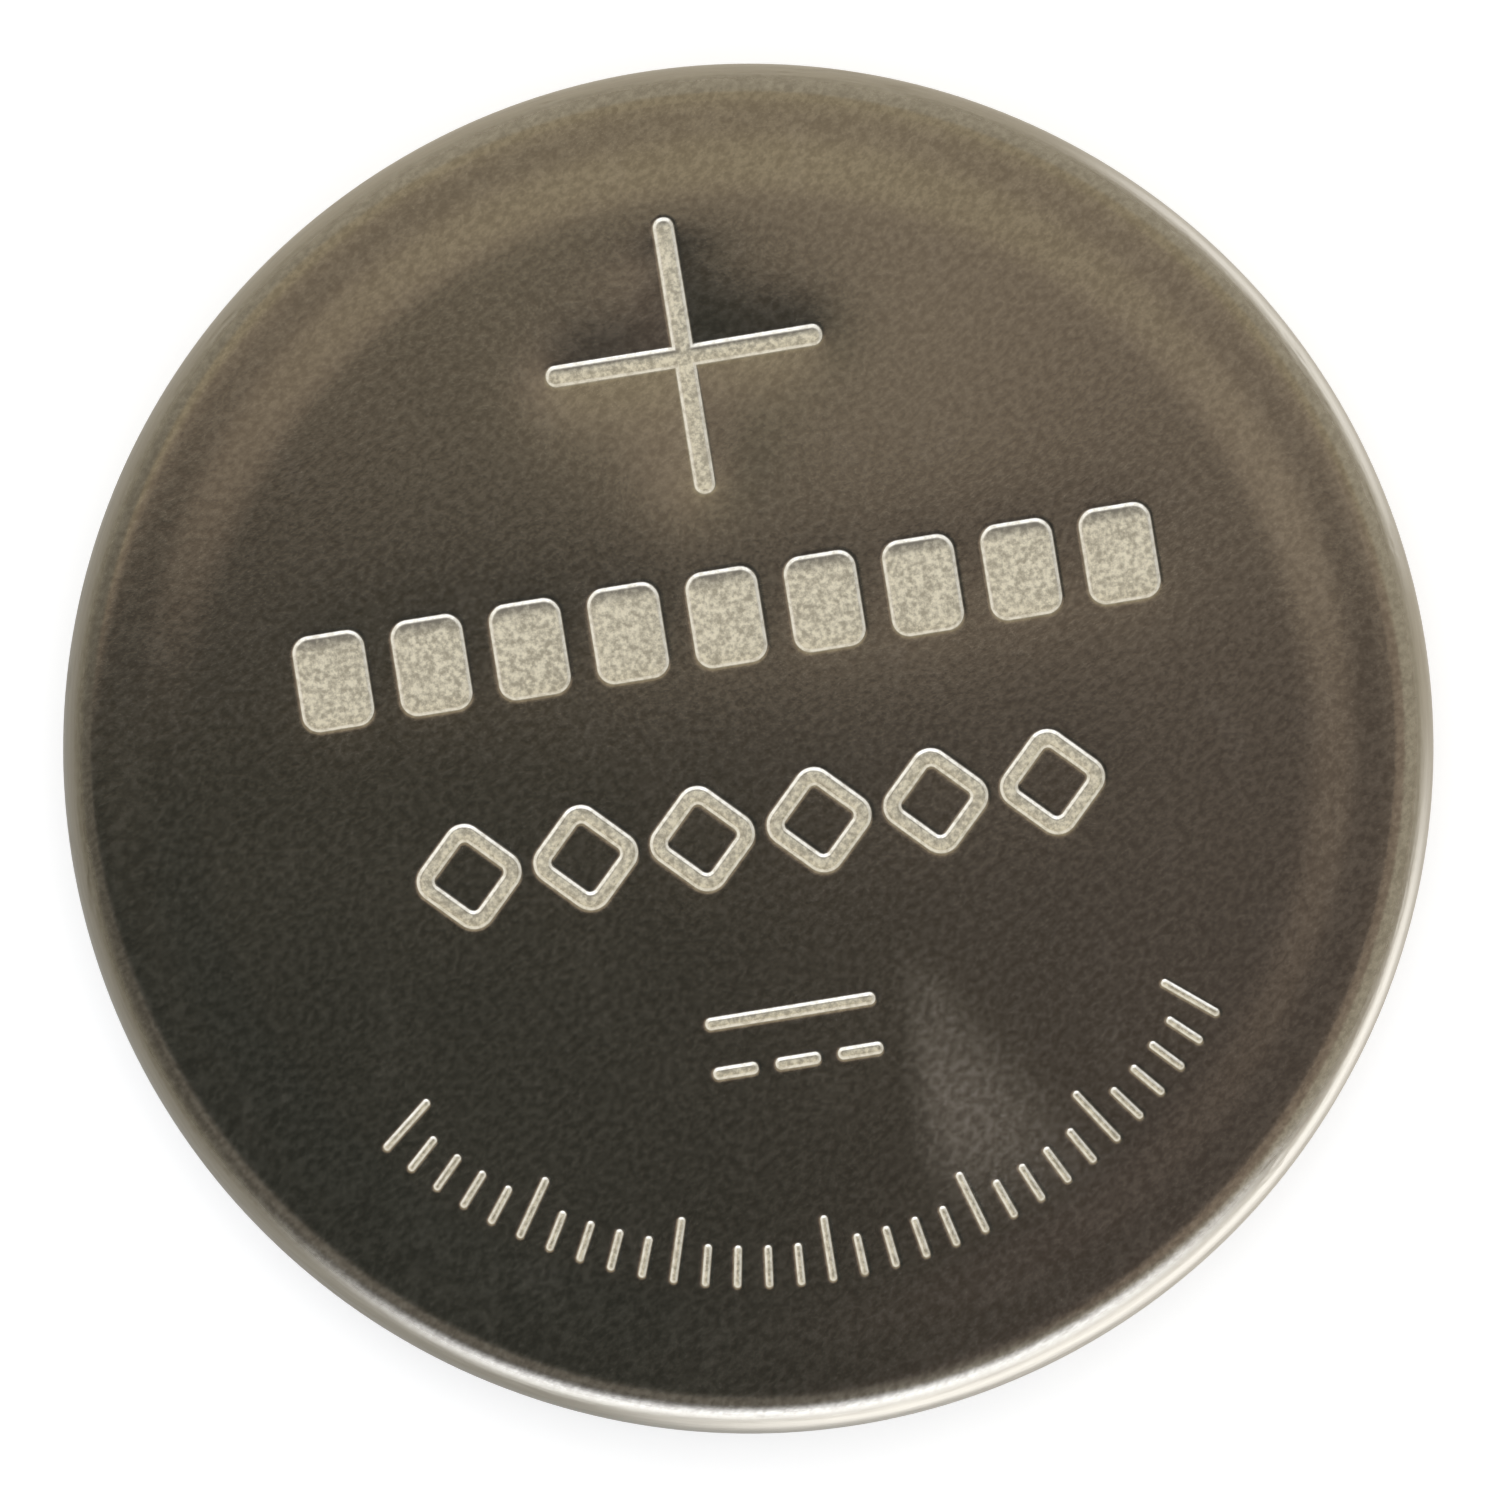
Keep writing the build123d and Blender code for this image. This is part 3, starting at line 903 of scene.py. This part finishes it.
def make_gasket():
    roof = HEIGHT - PLATEAU_STEP - RING_FALL - SHEET - SEALANT
    wall_r = RADIUS - SHEET - SEALANT
    foot = CAP_PROUD + SHEET + SEALANT
    shelf = foot + GASKET_WALL - 2 * SEALANT
    groove_r = SKIRT_R + SEALANT
    lip_r = SKIRT_R - SHEET - SEALANT
    corners = [
        ((GASKET_FLOOR_R, roof), GASKET_EDGE),
        ((GASKET_FLOOR_R, roof - GASKET_FLOOR_T), GASKET_EDGE),
        ((lip_r - GASKET_LIP, roof - GASKET_FLOOR_T), GASKET_EDGE),
        ((lip_r - GASKET_LIP, GASKET_LIP_Z), GASKET_EDGE),
        ((lip_r, GASKET_LIP_Z), GASKET_EDGE),
        ((lip_r, SKIRT_TOP + SEALANT), 0),
        ((groove_r, SKIRT_TOP + SEALANT), 0),
        ((groove_r, shelf), CRIMP_ROUND - SHEET - GASKET_WALL + SEALANT),
        ((NECK_R + SEALANT, shelf), NECK_ROUND - SEALANT),
        ((NECK_R + SEALANT, GASKET_BEAD_Z), GASKET_EDGE),
        ((CRIMP_EDGE_R - SEALANT, GASKET_BEAD_Z), GASKET_EDGE),
        ((CRIMP_EDGE_R - SEALANT, foot), 0),
        ((wall_r, foot), CRIMP_ROUND - SHEET - SEALANT),
        ((wall_r, roof), RIM_ROUND - SHEET - SEALANT),
    ]
    places, rounds = zip(*corners)
    mesh = turned("gasket", list(places), list(rounds), gasket_plastic(), closed=True)
    return add_piece("gasket", [mesh], "sealing_gasket")


def dress_node(node, material):
    """Gives a CAD node that stays its finish."""
    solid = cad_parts[node]
    for slot in solid.material_slots:
        slot.material = material


# ---- table, light and camera --------------------------------------------------------------
def view_place(right, up, height):
    """A point given as the camera sees it: to the right, upwards, and height above the table."""
    return VIEW_RIGHT * right + VIEW_UP * up + Vector((0, 0, height))


def flat_square(name, side, corner_frame):
    """A level square about the origin of its own axes, as a stage object."""
    half = side / 2
    corners = [(-half, -half, 0), (half, -half, 0), (half, half, 0), (-half, half, 0)]
    mesh = bpy.data.meshes.new(name)
    mesh.from_pydata(corners, [], [(0, 1, 2, 3)])
    square = bpy.data.objects.new(name, mesh)
    square.matrix_world = corner_frame
    bpy.context.scene.collection.objects.link(square)
    return square


def glowing(name):
    """A new material and its emptied tree, for the table and the ceiling."""
    material = bpy.data.materials.new(name)
    material.use_nodes = True
    material.node_tree.nodes.clear()
    return material, Tree(material.node_tree)


def bearings(tree, direction):
    """How far a direction points to the right and ahead, as the camera sees it, from -1 to 1."""
    x, y, _ = tree.parts(direction)
    level = tree.vector_math("NORMALIZE", tree.combine(x, y, 0))
    right = tree.vector_math("DOT_PRODUCT", level, tuple(VIEW_RIGHT), output="Value")
    return right, tree.vector_math("DOT_PRODUCT", level, tuple(VIEW_UP), output="Value")


def towards(right, ahead, side):
    """1 in the direction of a side, and -1 away from it."""
    return right * side[0] + ahead * side[1]


def bright_share(right, ahead):
    """0 on the dim side of the table and the room, 1 on the bright side."""
    return towards(right, ahead, BRIGHT_SIDE).ramp(-0.9, 0.3)


def make_table():
    """A white table that keeps the cell's shadow. From below it is clear, to show the cap."""
    material, tree = glowing("table")
    path = tree.make("ShaderNodeLightPath", {}, {})
    camera, glossy, through = [Value(tree, path.outputs[f"Is {ray} Ray"]) for ray in RAYS]
    place = tree.node("ShaderNodeTexCoord", output="Object")
    right, ahead = bearings(tree, place)
    reach = tree.vector_math("LENGTH", place, output="Value") / MM
    # painted glare and shine, which only the metal's reflections see
    glare = towards(right, ahead, GLARE_NEAR).ramp(0.55, 0.9)
    glare = glare + towards(right, ahead, GLARE_FAR).ramp(0.9, 0.99) * GLARE_FAR_SHARE
    glare = glare * reach.ramp(*GLARE_START) * (1 - reach.ramp(*GLARE_END))
    shine = tree.mixed(bright_share(right, ahead), *TABLE_SHINE)
    shine = tree.mixed(glare, shine, TABLE_GLARE)
    colour = tree.mixed(camera, shine, (TABLE_GLOW, TABLE_GLOW, TABLE_GLOW, 1))
    seen = (camera + glossy + through).math("MINIMUM", 1)
    paper = tree.node("ShaderNodeBsdfDiffuse", {}, {"Color": TABLE_PAPER})
    glow = tree.node("ShaderNodeEmission", {}, {"Color": colour, "Strength": seen})
    both = tree.node("ShaderNodeAddShader", {}, {0: paper, 1: glow})
    below = tree.node("ShaderNodeNewGeometry", output="Backfacing")
    clear = tree.node("ShaderNodeBsdfTransparent")
    hidden = 1 - reach.ramp(*HIDDEN_EDGE)
    see_through = below.math("MAXIMUM", hidden)
    surface = tree.node("ShaderNodeMixShader", {}, {0: see_through, 1: both, 2: clear})
    tree.make("ShaderNodeOutputMaterial", {}, {"Surface": surface})
    table = flat_square("table", TABLE_SIDE, Matrix.Translation((0, 0, -TABLE_GAP)))
    table.data.materials.append(material)


def make_panel():
    """A dim ceiling that only the bright metal shows: dark over the near side, warm over the far side."""
    material, tree = glowing("overhead_panel")
    x, y, _ = tree.parts(tree.node("ShaderNodeTexCoord", output="Object"))
    x = x / MM
    y = y / MM
    aside = x - PANEL_DIP
    across = y - (aside * aside).math("MINIMUM", PANEL_RISE_END) * PANEL_RISE
    near = tree.mixed(x.ramp(-4, 9), PANEL_DARK, PANEL_DIM)
    near = tree.mixed(x.ramp(15, 24), near, PANEL_WARM)
    near = tree.mixed((x * -0.4 - y).ramp(20, 44), near, PANEL_NEAR)
    far = tree.mixed(across.ramp(9, 24), PANEL_WARM, PANEL_FAR)
    colour = tree.mixed(across.ramp(4.2, 10), near, far)
    for patch, right, up, size in PANEL_PATCHES:
        gap = ((x - right) * (x - right) + (y - up) * (y - up)).math("SQRT")
        colour = tree.mixed(1 - gap.ramp(size * 0.3, size), colour, patch)
    glow = tree.node("ShaderNodeEmission", {}, {"Color": colour, "Strength": 1.0})
    tree.make("ShaderNodeOutputMaterial", {}, {"Surface": glow})
    place = Matrix((VIEW_RIGHT, VIEW_UP, Vector((0, 0, 1)))).transposed().to_4x4()
    place.translation = view_place(0, 0, PANEL_HEIGHT)
    panel = flat_square("overhead_panel", PANEL_SIDE, place)
    panel.data.materials.append(material)
    panel.visible_camera = False
    panel.visible_diffuse = False
    panel.visible_shadow = False


def make_world():
    """A soft room: dim on the left, and with a low bright window on the near side. The eye sees white."""
    world = bpy.data.worlds.new("room")
    bpy.context.scene.world = world
    world.use_nodes = True
    world.node_tree.nodes.clear()
    tree = Tree(world.node_tree)
    direction = tree.node("ShaderNodeTexCoord", output="Generated")
    right, ahead = bearings(tree, direction)
    height = tree.parts(direction)[2]
    bright = bright_share(right, ahead)
    low, high = [tree.mixed(bright, *colours) for colours in zip(ROOM_LEFT, ROOM_RIGHT)]
    walls = tree.mixed(height.ramp(0, 0.65), low, high)
    window = towards(right, ahead, WINDOW_SIDE).ramp(0.6, 0.95)
    window = window * (1 - height.ramp(0.28, 0.75)) * height.ramp(-0.02, 0.07)
    camera = tree.node("ShaderNodeLightPath", output="Is Camera Ray")
    colour = tree.mixed(camera, tree.mixed(window, walls, WINDOW), WHITE)
    glow = tree.node("ShaderNodeBackground", {}, {"Color": colour, "Strength": 1.0})
    tree.make("ShaderNodeOutputWorld", {}, {"Surface": glow})


def make_lamp():
    """A large soft lamp overhead that lights the table and the frosted marks."""
    data = bpy.data.lights.new("soft_lamp", "AREA")
    data.size = LAMP_SIDE
    data.energy = LAMP_POWER
    lamp = bpy.data.objects.new("soft_lamp", data)
    lamp.location = view_place(*LAMP_PLACE, LAMP_HEIGHT)
    lamp.visible_glossy = False
    bpy.context.scene.collection.objects.link(lamp)


def make_camera():
    lean = CAMERA_SIDE * sin(CAMERA_LEAN) + Vector((0, 0, cos(CAMERA_LEAN)))
    across = VIEW_UP.cross(lean).normalized()
    axes = Matrix((across, lean.cross(across), lean)).transposed().to_4x4()
    axes.translation = Vector((0, 0, HEIGHT / 2)) + lean * CAMERA_DISTANCE
    data = bpy.data.cameras.new("camera")
    data.sensor_fit = "HORIZONTAL"
    data.lens = data.sensor_width * CAMERA_DISTANCE / VIEW_WIDTH
    data.clip_start = 10 * MM
    camera = bpy.data.objects.new("camera", data)
    camera.matrix_world = axes
    bpy.context.scene.collection.objects.link(camera)
    bpy.context.scene.camera = camera


LATHE = lathe_tree()
ROW = row_tree()
make_can()
make_cap()
make_gasket()
dress_node("lithium_anode", lithium_metal())
dress_node("separator", separator_fleece())
dress_node("cathode_pellet", cathode_mix())
dress_node("collector_grid", collector_steel())
make_table()
make_panel()
make_world()
make_lamp()
make_camera()
bpy.context.scene.view_settings.view_transform = "Standard"
